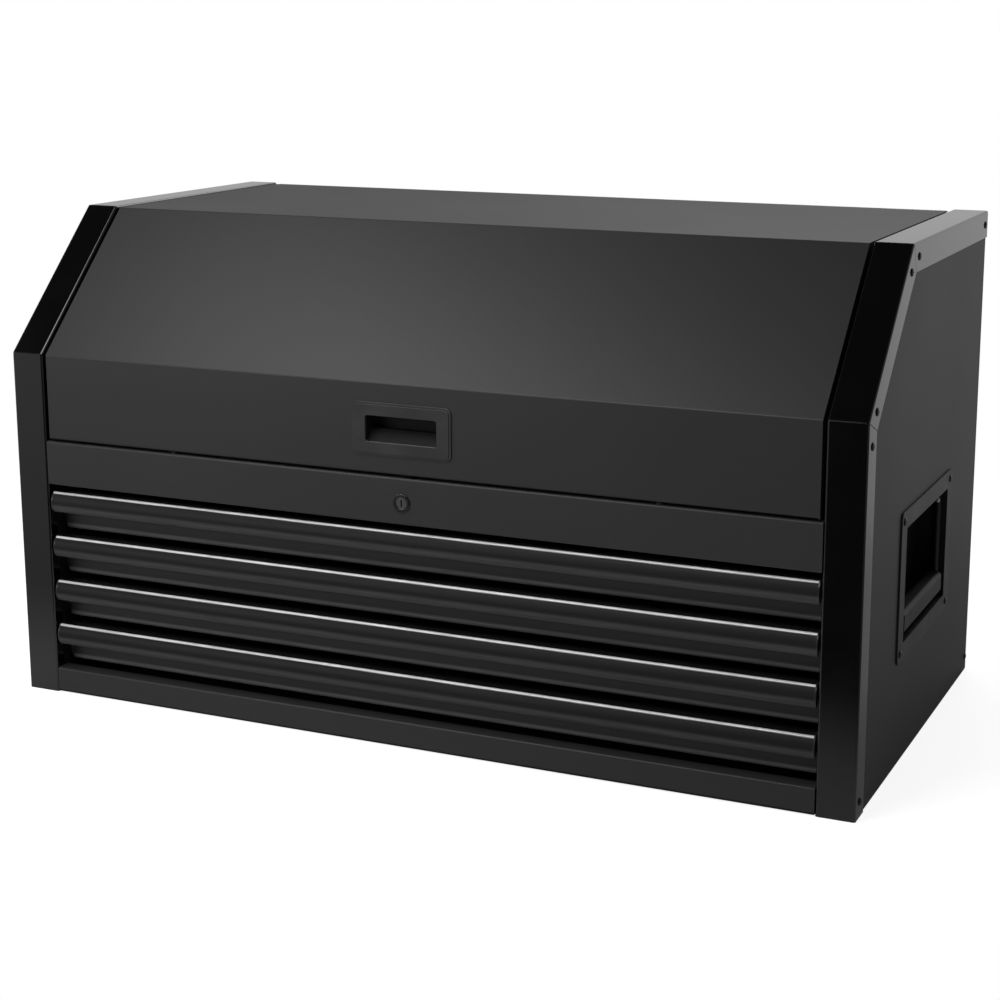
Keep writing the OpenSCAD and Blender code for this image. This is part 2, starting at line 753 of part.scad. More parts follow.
module strut_rod(side) {
    piston_r = tube_r - 1.2;
    neck_l = 12;
    color("silver") on_strut(side, lid_pivot) {
        strut_end();
        rotate_extrude() polygon([[0, -neck_in], [0, -rod_l], [piston_r, -rod_l],
            [piston_r, piston - rod_l], [rod_r, piston - rod_l], [rod_r, -neck_l],
            [neck_r, -neck_l], [neck_r, -neck_in]]);
    }
}
module left_strut_tube() {
    strut_tube(-1);
}
module right_strut_tube() {
    strut_tube(1);
}
module left_strut_rod() {
    strut_rod(-1);
}
module right_strut_rod() {
    strut_rod(1);
}
stud_head = 1.5;
plate_half = 14;
plate_reach = 18;
plate_t = 2;
module stud(pivot, root_x) {
    head_x = strut_x - eye_w / 2 - 0.4;
    rod_x(head_x, root_x, pivot[0], pivot[1], stud_r);
    rod_x(head_x - stud_head, head_x, pivot[0], pivot[1], eye_r - 1);
    rod_x(strut_x + eye_w / 2 + 0.4, root_x, pivot[0], pivot[1], stud_r + 1);
}
module strut_studs() {
    color("silver") from_front() for (side = [-1, 1]) on_side(side) {
        stud(case_pivot, inner_in - plate_t);
        block(inner_in - plate_t, inner_in, case_pivot[0] - plate_half, case_pivot[0] + plate_half,
            case_pivot[1] - plate_reach, case_pivot[1] + plate_reach);
    }
}
module strut_brackets() {
    seat = lid_half - wall_t;
    color("#8f9194") from_front() for (side = [-1, 1]) on_side(side) {
        stud(lid_pivot, seat - plate_t);
        block(seat - plate_t, seat, lid_pivot[0] - plate_half, lid_pivot[0] + plate_half,
            lid_pivot[1] - plate_reach / 2, case_h - lid_sink - wall_t - 1);
    }
}

// Side handles: a dish behind a screwed plate, and a bail with a thick grip hanging in it
handle_z = lock_z - handle_drop;
dish_back = inner_out + 0.8;
plate_out = side_out + dish_t;
pivot_x = plate_out - grip_t / 2 - 1.2;
pivot_z = handle_z + recess_h / 2 - 13;
grip_z = pivot_z - bail_arm;
pivot_r = 3;
arm_y = recess_w / 2 - 1 - bail_d / 2;
screw_inset = 11;
module yz_slab(x0, x1) {
    translate([x0, handle_y, handle_z]) rotate([90, 0, 90]) linear_extrude(x1 - x0) children();
}
module handle_tray() {
    difference() {
        union() {
            yz_slab(side_out, plate_out) rounded(handle_w, handle_h, 8);
            yz_slab(dish_back, side_out)
                square([recess_w + 2 * dish_t, recess_h + 2 * dish_t], center = true);
        }
        yz_slab(dish_back + dish_t, plate_out + 1) square([recess_w, recess_h], center = true);
        rod_y(pivot_x, handle_y - recess_w, handle_y + recess_w, pivot_z, pivot_r + run_fit);
    }
}
module left_handle_tray() {
    color("#2c2c2e") from_front() on_side(-1) handle_tray();
}
module right_handle_tray() {
    color("#2c2c2e") from_front() on_side(1) handle_tray();
}
module grip() {
    grip_half = arm_y - bail_d / 2 - 1;
    translate([0, handle_y, 0]) {
        for (k = [-1, 1]) {
            translate([pivot_x, k * arm_y, grip_z]) cylinder(r = bail_d / 2, h = bail_arm);
            translate([pivot_x, k * arm_y, grip_z]) sphere(bail_d / 2);
            translate([pivot_x, k * arm_y, pivot_z]) sphere(bail_d / 2);
            rod_y(pivot_x, min(k * arm_y, k * (recess_w / 2 + dish_t)),
                max(k * arm_y, k * (recess_w / 2 + dish_t)), pivot_z, pivot_r);
        }
        rod_y(pivot_x, -arm_y, arm_y, grip_z, bail_d / 2);
        translate([pivot_x, 0, grip_z]) along(-grip_half, grip_half) rounded(grip_t, grip_h, 5);
    }
}
module left_grip() {
    color("#1c1c1e") from_front() on_side(-1) grip();
}
module right_grip() {
    color("#1c1c1e") from_front() on_side(1) grip();
}

// Screws that hold the trims and the handle plates, with cross recesses
module screw(y, z, x) {
    translate([x, y, z]) rotate([0, 90, 0]) difference() {
        rotate_extrude() polygon([[0, 0], [screw_r, 0], [screw_r, screw_h / 2],
            [screw_r * 0.6, screw_h], [0, screw_h]]);
        for (a = [0, 90]) rotate(a) translate([-screw_r / 2, -0.4, screw_h / 2])
            cube([screw_r, 0.8, screw_h]);
    }
}
module case_screws() {
    mid = flange_w / 2;
    end = 19;
    top_z = case_h - mid;
    spots = [[mid, 18], [mid, fold_z - 26], fold_at(mid) + slope_dir * end,
        crest_at(mid) - slope_dir * end, [slope_run + 25, top_z], [case_d - 13, top_z]];
    color("#0a0a0a") from_front() for (side = [-1, 1]) on_side(side) {
        for (p = spots) screw(p[0], p[1], half_w);
        screw(case_d - 9, 18, side_out);
        for (i = [-1, 1], j = [-1, 1]) screw(handle_y + i * (handle_w / 2 - screw_inset),
            handle_z + j * (handle_h / 2 - screw_inset), plate_out);
    }
}

// Rubber bumpers that the closed lid comes down on
bumper_x = 300;
bumper_gap = 0.3;
module lid_bumpers() {
    color("#111111") from_front() for (k = [-1, 1])
        translate([k * bumper_x, lid_sink + lid_hem / 2, lock_top])
            cylinder(r = lid_hem / 3, h = lid_rest_gap - bumper_gap);
}

left_side_panel();
right_side_panel();
left_inner_wall();
right_inner_wall();
back_panel();
bottom_pan();
till_floor();
bottom_rail();
lock_panel();
left_column();
right_column();
left_slope_trim();
right_slope_trim();
left_top_trim();
right_top_trim();
cabinet_slides();
hinge_case_leaf();
hinge_pin();
left_handle_tray();
right_handle_tray();
case_screws();
lid_bumpers();
strut_studs();
lock_barrel();
lock_plug();
left_grip();
right_grip();
lid_panel();
lid_stiffeners();
lid_pull();
hinge_lid_leaf();
strut_brackets();
left_strut_tube();
right_strut_tube();
left_strut_rod();
right_strut_rod();
tray(1);  // drawer_1_tray
pull(1);  // drawer_1_pull
strip(1);  // drawer_1_strip
caps(1);  // drawer_1_caps
runners(1);  // drawer_1_runners
tray(2);  // drawer_2_tray
pull(2);  // drawer_2_pull
strip(2);  // drawer_2_strip
caps(2);  // drawer_2_caps
runners(2);  // drawer_2_runners
tray(3);  // drawer_3_tray
pull(3);  // drawer_3_pull
strip(3);  // drawer_3_strip
caps(3);  // drawer_3_caps
runners(3);  // drawer_3_runners
tray(4);  // drawer_4_tray
pull(4);  // drawer_4_pull
strip(4);  // drawer_4_strip
caps(4);  // drawer_4_caps
runners(4);  // drawer_4_runners
carriers(1);  // slide_carriers_1
carriers(2);  // slide_carriers_2
carriers(3);  // slide_carriers_3
carriers(4);  // slide_carriers_4
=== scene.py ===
import math
import bpy
import bmesh
from mathutils import Matrix, Vector


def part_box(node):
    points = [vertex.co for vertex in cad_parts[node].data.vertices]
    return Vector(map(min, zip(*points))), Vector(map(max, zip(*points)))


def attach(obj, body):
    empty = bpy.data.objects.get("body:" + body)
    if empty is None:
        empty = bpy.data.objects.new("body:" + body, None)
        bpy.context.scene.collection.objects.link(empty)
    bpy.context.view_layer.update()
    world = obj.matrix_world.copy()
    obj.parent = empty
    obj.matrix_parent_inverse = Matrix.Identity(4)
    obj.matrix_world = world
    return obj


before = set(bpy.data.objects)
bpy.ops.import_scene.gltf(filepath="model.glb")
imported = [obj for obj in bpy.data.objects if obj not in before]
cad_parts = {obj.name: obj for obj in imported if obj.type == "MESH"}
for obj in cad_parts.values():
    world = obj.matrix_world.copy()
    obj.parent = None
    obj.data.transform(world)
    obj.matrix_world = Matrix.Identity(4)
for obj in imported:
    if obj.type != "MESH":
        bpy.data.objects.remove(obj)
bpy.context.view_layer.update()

# Camera. It stands to the right of the chest's middle and looks slightly down on it,
# with the view shifted a little, as the photograph is cropped.
camera_place = (0.9956, -2.1594, 0.8167)
camera_turn = math.radians(24.007)
camera_dip = math.radians(12.027)
focal_share = 1.9918
sensor_width = 36
view_shift = (-0.0297, -0.0650)
camera = bpy.data.objects.new("camera", bpy.data.cameras.new("camera"))
bpy.context.scene.collection.objects.link(camera)
camera.location = camera_place
camera.rotation_euler = (math.pi / 2 - camera_dip, 0, camera_turn)
camera.data.sensor_width = sensor_width
camera.data.lens = focal_share * sensor_width
camera.data.shift_x = view_shift[0]
camera.data.shift_y = view_shift[1]
bpy.context.scene.camera = camera
bpy.context.scene.view_settings.view_transform = "Standard"


# Studio. A room that is white behind the chest, softly lit at both sides and nearly dark
# overhead and in front, with a weak glow from the floor ahead, a small white table that
# ends softly all round, and three large lamps.
def add(tree, kind, values=None, **settings):
    """Adds a node, sets its attributes, and sets or wires its inputs."""
    node = tree.nodes.new("ShaderNode" + kind)
    for name, value in settings.items():
        setattr(node, name, value)
    for name, value in (values or {}).items():
        if isinstance(value, bpy.types.NodeSocket):
            tree.links.new(value, node.inputs[name])
        else:
            node.inputs[name].default_value = value
    return node


def ramp(tree, value, low, high, to_low, to_high):
    """Value mapped smoothly from low..high to to_low..to_high."""
    inputs = {"Value": value, "From Min": low, "From Max": high, "To Min": to_low, "To Max": to_high}
    return add(tree, "MapRange", inputs, interpolation_type="SMOOTHSTEP").outputs["Result"]


def light_room():
    """White to the camera; to the chest a rear wall, side glows and a weak glow of the floor.

    Each glow has a direction, the cosines at its edge and core, and a strength.
    """
    glows = (((0.0, 1.0, 0.0), 0.25, 0.80, 0.45),
             ((-0.914, -0.406, 0.0), 0.60, 0.86, 0.40),
             ((1.0, -0.2, 0.1), 0.45, 0.95, 0.20))
    darkness = 0.022
    floor_glow = 0.8
    room = bpy.data.worlds.new("white_room")
    bpy.context.scene.world = room
    room.use_nodes = True
    tree = room.node_tree
    tree.nodes.clear()
    toward = add(tree, "TexCoord").outputs["Generated"]
    level = add(tree, "SeparateXYZ", {"Vector": toward}).outputs["Z"]
    sink = ramp(tree, level, -0.40, -0.05, 0.40, 1.0)
    light = None
    for centre, edge, core, strength in glows:
        facing = add(tree, "VectorMath", {0: toward, 1: centre}, operation="DOT_PRODUCT").outputs["Value"]
        glow = ramp(tree, facing, edge, core, 0.0, strength)
        if light is None:
            light = glow
        else:
            light = add(tree, "Math", {0: light, 1: glow}, operation="MAXIMUM").outputs[0]
    light = add(tree, "Math", {0: light, 1: sink, 2: darkness}, operation="MULTIPLY_ADD").outputs[0]
    below = ramp(tree, level, -0.62, -0.30, floor_glow, 0.0)
    ahead = add(tree, "VectorMath", {0: toward, 1: (0, -1, 0)}, operation="DOT_PRODUCT").outputs["Value"]
    ahead = ramp(tree, ahead, 0.10, 0.50, 0.0, 1.0)
    light = add(tree, "Math", {0: below, 1: ahead, 2: light}, operation="MULTIPLY_ADD").outputs[0]
    lit = add(tree, "Background", {"Color": (1, 1, 1, 1), "Strength": light})
    white = add(tree, "Background", {"Color": (1, 1, 1, 1), "Strength": 1.0})
    path = add(tree, "LightPath")
    seen = add(tree, "Math", {0: path.outputs["Is Camera Ray"], 1: path.outputs["Is Transmission Ray"]},
               operation="MAXIMUM").outputs[0]
    both = add(tree, "MixShader", {0: seen, 1: lit.outputs[0], 2: white.outputs[0]})
    out = add(tree, "OutputWorld", {"Surface": both.outputs[0]})
    out.is_active_output = True


def hang_lamp(name, place, target, size, power):
    """An oblong lamp at a place, turned to a target; size in metres, power in watts."""
    lamp = bpy.data.lights.new(name, "AREA")
    lamp.shape = "RECTANGLE"
    lamp.size, lamp.size_y = size
    lamp.energy = power
    hung = bpy.data.objects.new(name, lamp)
    bpy.context.scene.collection.objects.link(hung)
    hung.location = place
    hung.rotation_euler = (Vector(target) - Vector(place)).to_track_quat("-Z", "Y").to_euler()


def lay_table():
    """A white sheet, whiter to the camera, clear beyond a rounded patch about the chest."""
    middle = (-0.17, 0.35, 0.0)
    squeeze = (0.78, 1.0, 1.0)
    inner, outer = 0.72, 1.15
    whiteness = 0.80
    camera_lift = 0.82
    reach = 3.0
    drop = 0.0006
    mesh = bpy.data.meshes.new("table_top")
    corners = [(-reach, -reach, 0), (reach, -reach, 0), (reach, reach, 0), (-reach, reach, 0)]
    mesh.from_pydata(corners, [], [(0, 1, 2, 3)])
    table = bpy.data.objects.new("table_top", mesh)
    table.location.z = -drop
    bpy.context.scene.collection.objects.link(table)
    finish = bpy.data.materials.new("table_white")
    finish.use_nodes = True
    tree = finish.node_tree
    tree.nodes.clear()
    place = add(tree, "TexCoord").outputs["Object"]
    moved = add(tree, "VectorMath", {0: place, 1: middle}, operation="SUBTRACT").outputs[0]
    squeezed = add(tree, "VectorMath", {0: moved, 1: squeeze}, operation="MULTIPLY").outputs[0]
    away = add(tree, "VectorMath", {0: squeezed}, operation="LENGTH").outputs["Value"]
    fade = ramp(tree, away, inner, outer, 0.0, 1.0)
    path = add(tree, "LightPath")
    lift = add(tree, "Math", {0: path.outputs["Is Camera Ray"], 1: camera_lift},
               operation="MULTIPLY").outputs[0]
    glow = add(tree, "Emission", {"Color": (1, 1, 1, 1), "Strength": lift})
    paint = add(tree, "BsdfDiffuse", {"Color": (whiteness, whiteness, whiteness, 1)})
    paper = add(tree, "AddShader", {0: glow.outputs[0], 1: paint.outputs[0]})
    clear = add(tree, "BsdfTransparent")
    mixed = add(tree, "MixShader", {0: fade, 1: paper.outputs[0], 2: clear.outputs[0]})
    add(tree, "OutputMaterial", {"Surface": mixed.outputs[0]})
    mesh.materials.append(finish)


light_room()
hang_lamp("key_lamp", (-0.28, -0.78, 1.26), (0.05, -0.25, 0.40), (1.3, 0.6), 8.8)
hang_lamp("fill_lamp", (-1.10, -1.80, 0.75), (-0.1, -0.2, 0.2), (0.9, 0.5), 6)
hang_lamp("rear_lamp", (0.3, 2.2, 2.4), (0, 0, 0.3), (2.4, 1.0), 12)
lay_table()


# Carcass. Inner walls, back, bottom pan and till floor: folded sheet steel, spot welded
# to one another inside the case, in the same satin black powder coat.
def powder_coat_group():
    """Fine orange-peel skin of a powder coat, with soft changes of shade and shine."""
    group = bpy.data.node_groups.new("PowderCoat", "ShaderNodeTree")
    face = group.interface
    face.new_socket("Colour", in_out="INPUT", socket_type="NodeSocketColor")
    face.new_socket("Roughness", in_out="INPUT", socket_type="NodeSocketFloat")
    face.new_socket("Peel Size", in_out="INPUT", socket_type="NodeSocketFloat")
    face.new_socket("Peel Depth", in_out="INPUT", socket_type="NodeSocketFloat")
    face.new_socket("Mottle", in_out="INPUT", socket_type="NodeSocketFloat")
    face.new_socket("Colour", in_out="OUTPUT", socket_type="NodeSocketColor")
    face.new_socket("Roughness", in_out="OUTPUT", socket_type="NodeSocketFloat")
    face.new_socket("Normal", in_out="OUTPUT", socket_type="NodeSocketVector")
    given = group.nodes.new("NodeGroupInput").outputs
    place = add(group, "TexCoord").outputs["Object"]
    peel_scale = add(group, "Math", {0: 1.0, 1: given["Peel Size"]}, operation="DIVIDE").outputs[0]
    grit_scale = add(group, "Math", {0: peel_scale, 1: 4.0}, operation="MULTIPLY").outputs[0]
    peel = add(group, "TexNoise", {"Vector": place, "Scale": peel_scale, "Detail": 1.0}).outputs["Fac"]
    grit = add(group, "TexNoise", {"Vector": place, "Scale": grit_scale, "Detail": 2.0}).outputs["Fac"]
    cloud = add(group, "TexNoise", {"Vector": place, "Scale": 3.2, "Detail": 3.0}).outputs["Fac"]
    height = add(group, "Math", {0: grit, 1: 0.45, 2: peel}, operation="MULTIPLY_ADD").outputs[0]
    bump = add(group, "Bump", {"Height": height, "Strength": 1.0, "Distance": given["Peel Depth"]})
    uneven = add(group, "Math", {0: cloud, 1: 0.5}, operation="SUBTRACT").outputs[0]
    shade = add(group, "Math", {0: uneven, 1: given["Mottle"], 2: 1.0}, operation="MULTIPLY_ADD").outputs[0]
    tint = add(group, "VectorMath", {0: given["Colour"], "Scale": shade}, operation="SCALE").outputs[0]
    shine = add(group, "Math", {0: peel, 1: 0.10, 2: given["Roughness"]},
                operation="MULTIPLY_ADD").outputs[0]
    shine = add(group, "Math", {0: uneven, 1: 0.10, 2: shine}, operation="MULTIPLY_ADD").outputs[0]
    out = group.nodes.new("NodeGroupOutput").inputs
    group.links.new(tint, out["Colour"])
    group.links.new(shine, out["Roughness"])
    group.links.new(bump.outputs[0], out["Normal"])
    return group


powder_skin = powder_coat_group()


def place_group(tree, group, **values):
    """Places a node group in a material and sets its inputs, named with _ for a space."""
    node = tree.nodes.new("ShaderNodeGroup")
    node.node_tree = group
    for name, value in values.items():
        node.inputs[name.replace("_", " ").title()].default_value = value
    return node


def powder_coat(name, colour, roughness, sheen=0.3, peel_size=0.0011, peel_depth=0.00002, mottle=0.22):
    """Powder-coated sheet steel."""
    finish = bpy.data.materials.new(name)
    finish.use_nodes = True
    tree = finish.node_tree
    skin = place_group(tree, powder_skin, colour=(*colour, 1), roughness=roughness - 0.05,
                       peel_size=peel_size, peel_depth=peel_depth, mottle=mottle)
    paint = tree.nodes["Principled BSDF"].inputs
    paint["Specular IOR Level"].default_value = sheen
    tree.links.new(skin.outputs["Colour"], paint["Base Color"])
    tree.links.new(skin.outputs["Roughness"], paint["Roughness"])
    tree.links.new(skin.outputs["Normal"], paint["Normal"])
    return finish


def smooth_skin_group():
    """Joins the split corners of a CAD mesh and shades its bends smooth, its edges sharp."""
    corner_gap = 0.000002
    sharpest_bend = math.radians(32)
    group = bpy.data.node_groups.new("SmoothSkin", "GeometryNodeTree")
    group.interface.new_socket("Mesh", in_out="INPUT", socket_type="NodeSocketGeometry")
    group.interface.new_socket("Mesh", in_out="OUTPUT", socket_type="NodeSocketGeometry")
    mesh_in = group.nodes.new("NodeGroupInput")
    joined = group.nodes.new("GeometryNodeMergeByDistance")
    joined.inputs["Distance"].default_value = corner_gap
    freed = group.nodes.new("GeometryNodeRemoveAttribute")
    freed.inputs["Name"].default_value = "custom_normal"
    soft = group.nodes.new("GeometryNodeSetShadeSmooth")
    angle = group.nodes.new("GeometryNodeInputMeshEdgeAngle")
    is_edge = group.nodes.new("ShaderNodeMath")
    is_edge.operation = "GREATER_THAN"
    is_edge.inputs[1].default_value = sharpest_bend
    crisp = group.nodes.new("GeometryNodeSetShadeSmooth")
    crisp.domain = "EDGE"
    crisp.inputs["Shade Smooth"].default_value = False
    mesh_out = group.nodes.new("NodeGroupOutput")
    wire = group.links.new
    wire(mesh_in.outputs[0], joined.inputs["Geometry"])
    wire(joined.outputs[0], freed.inputs["Geometry"])
    wire(freed.outputs[0], soft.inputs["Geometry"])
    wire(soft.outputs[0], crisp.inputs["Geometry"])
    wire(angle.outputs["Unsigned Angle"], is_edge.inputs[0])
    wire(is_edge.outputs[0], crisp.inputs["Selection"])
    wire(crisp.outputs[0], mesh_out.inputs[0])
    return group


smooth_skin = smooth_skin_group()


def dress(name, finish, rounding=0.0):
    """Gives a CAD node its finish, smooth bends and edges rounded by that many metres."""
    bluntest_edge = math.radians(38)
    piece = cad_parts[name]
    for slot in piece.material_slots:
        slot.material = finish
    skin = piece.modifiers.new("smooth_skin", "NODES")
    skin.node_group = smooth_skin
    if rounding:
        bevel = piece.modifiers.new("soft_edges", "BEVEL")
        bevel.width = rounding
        bevel.segments = 2
        bevel.limit_method = "ANGLE"
        bevel.angle_limit = bluntest_edge
        bevel.use_clamp_overlap = True
        bevel.harden_normals = False
        even = piece.modifiers.new("even_faces", "WEIGHTED_NORMAL")
        even.keep_sharp = False
        even.weight = 100


carcass_paint = powder_coat("carcass_paint", (0.0150, 0.0136, 0.0142), 0.60)
for part in ("left_inner_wall", "right_inner_wall", "back_panel", "bottom_pan", "till_floor"):
    dress(part, carcass_paint, 0.0003)


# Weld marks. The shallow rings that the spot welder's tips pressed into the back panel
# along its folded edges, painted over with the case.
# Radius of each ring of points, and its height above the panel
weld_rings = ((0.0022, 0.00004), (0.0030, 0.00020), (0.0038, -0.00005))
ring_points = 24
back_low, back_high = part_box("back_panel")
edge_inset = 0.009
lowest_side_weld = 0.045
side_weld_pitch = 0.071
side_welds = 8
first_foot_weld = -0.45
foot_weld_pitch = 0.09
foot_welds = 11
weld_places = [(side * (back_high.x - edge_inset), lowest_side_weld + side_weld_pitch * k)
               for side in (-1, 1) for k in range(side_welds)]
weld_places += [(first_foot_weld + foot_weld_pitch * k, back_low.z + edge_inset)
                for k in range(foot_welds)]
marks = bmesh.new()
for x, z in weld_places:
    loops = []
    for radius, height in weld_rings:
        angles = [math.tau * k / ring_points for k in range(ring_points)]
        ring = [(x + radius * math.cos(a), back_high.y + height, z + radius * math.sin(a)) for a in angles]
        loops.append([marks.verts.new(point) for point in ring])
    marks.faces.new(loops[0][::-1])
    for inner_loop, outer_loop in zip(loops, loops[1:]):
        for k in range(ring_points):
            after = (k + 1) % ring_points
            marks.faces.new((inner_loop[k], inner_loop[after], outer_loop[after], outer_loop[k]))
bmesh.ops.recalc_face_normals(marks, faces=marks.faces)
mesh = bpy.data.meshes.new("back_weld_marks")
marks.to_mesh(mesh)
marks.free()
mesh.shade_smooth()
mesh.materials.append(carcass_paint)
weld_marks = bpy.data.objects.new("back_weld_marks", mesh)
bpy.context.scene.collection.objects.link(weld_marks)
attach(weld_marks, "case")


# Outer shell. Side panels, bottom rail and lock panel: folded sheet steel with a satin
# dark grey powder coat, spot welded to the carcass behind the corner trims.
shell_paint = powder_coat("shell_paint", (0.0338, 0.0323, 0.0329), 0.44, sheen=0.36)
for part in ("left_side_panel", "right_side_panel", "bottom_rail", "lock_panel"):
    dress(part, shell_paint, 0.0003)


# Corner trims. Folded steel channels over the case's six front and top corners, in a
# gloss black enamel that mirrors the room, each held by black screws along the side.
def gloss_enamel(name, colour, roughness):
    """Glossy enamel on steel, clear coated, with a slight haze and ripple."""
    finish = bpy.data.materials.new(name)
    finish.use_nodes = True
    tree = finish.node_tree
    place = add(tree, "TexCoord").outputs["Object"]
    ripple = add(tree, "TexNoise", {"Vector": place, "Scale": 130.0, "Detail": 1.0}).outputs["Fac"]
    wave = add(tree, "TexNoise", {"Vector": place, "Scale": 9.0, "Detail": 1.0}).outputs["Fac"]
    height = add(tree, "Math", {0: wave, 1: 2.0, 2: ripple}, operation="MULTIPLY_ADD").outputs[0]
    bump = add(tree, "Bump", {"Height": height, "Strength": 1.0, "Distance": 0.000012})
    haze = add(tree, "TexNoise", {"Vector": place, "Scale": 14.0, "Detail": 4.0}).outputs["Fac"]
    shine = ramp(tree, haze, 0.42, 0.72, roughness, roughness + 0.05)
    depth = ramp(tree, haze, 0.30, 0.70, 0.9, 1.15)
    tint = add(tree, "VectorMath", {0: colour, "Scale": depth}, operation="SCALE").outputs[0]
    enamel = tree.nodes["Principled BSDF"].inputs
    enamel["IOR"].default_value = 1.55
    enamel["Coat Weight"].default_value = 0.6
    enamel["Coat Roughness"].default_value = 0.03
    tree.links.new(tint, enamel["Base Color"])
    tree.links.new(shine, enamel["Roughness"])
    tree.links.new(bump.outputs[0], enamel["Normal"])
    return finish


trim_enamel = gloss_enamel("trim_enamel", (0.0014, 0.0014, 0.0015), 0.07)
for side in ("left", "right"):
    for part in ("column", "slope_trim", "top_trim"):
        dress(f"{side}_{part}", trim_enamel, 0.0003)


# Case screws. Small black oxide pan heads with a cross recess, through the trims' side
# flanges and the corners of the handle plates.
def dark_screw_steel():
    """Black oxide on steel, with a faint bloom."""
    finish = bpy.data.materials.new("black_oxide_steel")
    finish.use_nodes = True
    tree = finish.node_tree
    place = add(tree, "TexCoord").outputs["Object"]
    bloom = add(tree, "TexNoise", {"Vector": place, "Scale": 420.0, "Detail": 3.0}).outputs["Fac"]
    worn = ramp(tree, bloom, 0.45, 0.75, 0.0, 1.0)
    tint = add(tree, "Mix", data_type="RGBA")
    tree.links.new(worn, tint.inputs["Factor"])
    tint.inputs["A"].default_value = (0.010, 0.010, 0.011, 1)
    tint.inputs["B"].default_value = (0.028, 0.027, 0.027, 1)
    steel = tree.nodes["Principled BSDF"].inputs
    steel["Metallic"].default_value = 0.5
    tree.links.new(tint.outputs["Result"], steel["Base Color"])
    tree.links.new(ramp(tree, bloom, 0.3, 0.8, 0.16, 0.36), steel["Roughness"])
    return finish


dress("case_screws", dark_screw_steel())


# Side handles. A black moulded dish and plate screwed into each side panel, and a steel
# bail with a moulded grip that hangs in it and swings out on two pins.
def moulded_grain_group():
    """Fine spark-eroded grain of a moulded plastic or rubber face."""
    group = bpy.data.node_groups.new("MouldedGrain", "ShaderNodeTree")
    face = group.interface
    face.new_socket("Colour", in_out="INPUT", socket_type="NodeSocketColor")
    face.new_socket("Roughness", in_out="INPUT", socket_type="NodeSocketFloat")
    face.new_socket("Grain Size", in_out="INPUT", socket_type="NodeSocketFloat")
    face.new_socket("Grain Depth", in_out="INPUT", socket_type="NodeSocketFloat")
    face.new_socket("Colour", in_out="OUTPUT", socket_type="NodeSocketColor")
    face.new_socket("Roughness", in_out="OUTPUT", socket_type="NodeSocketFloat")
    face.new_socket("Normal", in_out="OUTPUT", socket_type="NodeSocketVector")
    given = group.nodes.new("NodeGroupInput").outputs
    place = add(group, "TexCoord").outputs["Object"]
    scale = add(group, "Math", {0: 1.0, 1: given["Grain Size"]}, operation="DIVIDE").outputs[0]
    cells = add(group, "TexVoronoi", {"Vector": place, "Scale": scale}, feature="SMOOTH_F1")
    grain = cells.outputs["Distance"]
    sink = add(group, "TexNoise", {"Vector": place, "Scale": 22.0, "Detail": 2.0}).outputs["Fac"]
    bump = add(group, "Bump", {"Height": grain, "Strength": 1.0, "Distance": given["Grain Depth"]})
    shade = ramp(group, sink, 0.3, 0.7, 0.88, 1.14)
    tint = add(group, "VectorMath", {0: given["Colour"], "Scale": shade}, operation="SCALE").outputs[0]
    uneven = add(group, "Math", {0: sink, 1: 0.5}, operation="SUBTRACT").outputs[0]
    shine = add(group, "Math", {0: uneven, 1: 0.16, 2: given["Roughness"]},
                operation="MULTIPLY_ADD").outputs[0]
    out = group.nodes.new("NodeGroupOutput").inputs
    group.links.new(tint, out["Colour"])
    group.links.new(shine, out["Roughness"])
    group.links.new(bump.outputs[0], out["Normal"])
    return group


moulded_grain = moulded_grain_group()


def moulding(name, colour, roughness, grain_size=0.0006, grain_depth=0.00004):
    """Moulded plastic or rubber."""
    finish = bpy.data.materials.new(name)
    finish.use_nodes = True
    tree = finish.node_tree
    skin = place_group(tree, moulded_grain, colour=(*colour, 1), roughness=roughness,
                       grain_size=grain_size, grain_depth=grain_depth)
    plastic = tree.nodes["Principled BSDF"].inputs
    tree.links.new(skin.outputs["Colour"], plastic["Base Color"])
    tree.links.new(skin.outputs["Roughness"], plastic["Roughness"])
    tree.links.new(skin.outputs["Normal"], plastic["Normal"])
    return finish


def second_skin(finish, mask, **values):
    """Blends another moulded skin into a moulding's finish where the mask is 1."""
    tree = finish.node_tree
    plastic = tree.nodes["Principled BSDF"].inputs
    other = place_group(tree, moulded_grain, **values)
    for output, target, kind in (("Colour", "Base Color", "RGBA"), ("Roughness", "Roughness", "FLOAT"),
                                 ("Normal", "Normal", "VECTOR")):
        blend = add(tree, "Mix", data_type=kind)
        sockets = [socket for socket in blend.inputs if socket.enabled]
        tree.links.new(mask, sockets[0])
        tree.links.new(plastic[target].links[0].from_socket, sockets[-2])
        tree.links.new(other.outputs[output], sockets[-1])
        tree.links.new([socket for socket in blend.outputs if socket.enabled][0], plastic[target])


dish_plastic = moulding("dish_plastic", (0.014, 0.014, 0.015), 0.42)
grip_plastic = moulding("grip_plastic", (0.009, 0.009, 0.010), 0.48, grain_size=0.0008)
grip_low, grip_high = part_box("right_grip")
arm_inset = 0.0070
bail_thickness = 0.008
arm_margin = 0.001
skin_change = 0.0002
grip_middle = (grip_low.y + grip_high.y) / 2
arm_offset = grip_high.y - arm_inset - grip_middle
grip_tree = grip_plastic.node_tree
grip_y = add(grip_tree, "SeparateXYZ", {"Vector": add(grip_tree, "TexCoord").outputs["Object"]}).outputs["Y"]
from_middle = add(grip_tree, "Math", {0: grip_y, 1: grip_middle}, operation="SUBTRACT").outputs[0]
from_middle = add(grip_tree, "Math", {0: from_middle}, operation="ABSOLUTE").outputs[0]
arm_start = arm_offset - bail_thickness / 2 - arm_margin
on_arm = ramp(grip_tree, from_middle, arm_start, arm_start + skin_change, 0.0, 1.0)
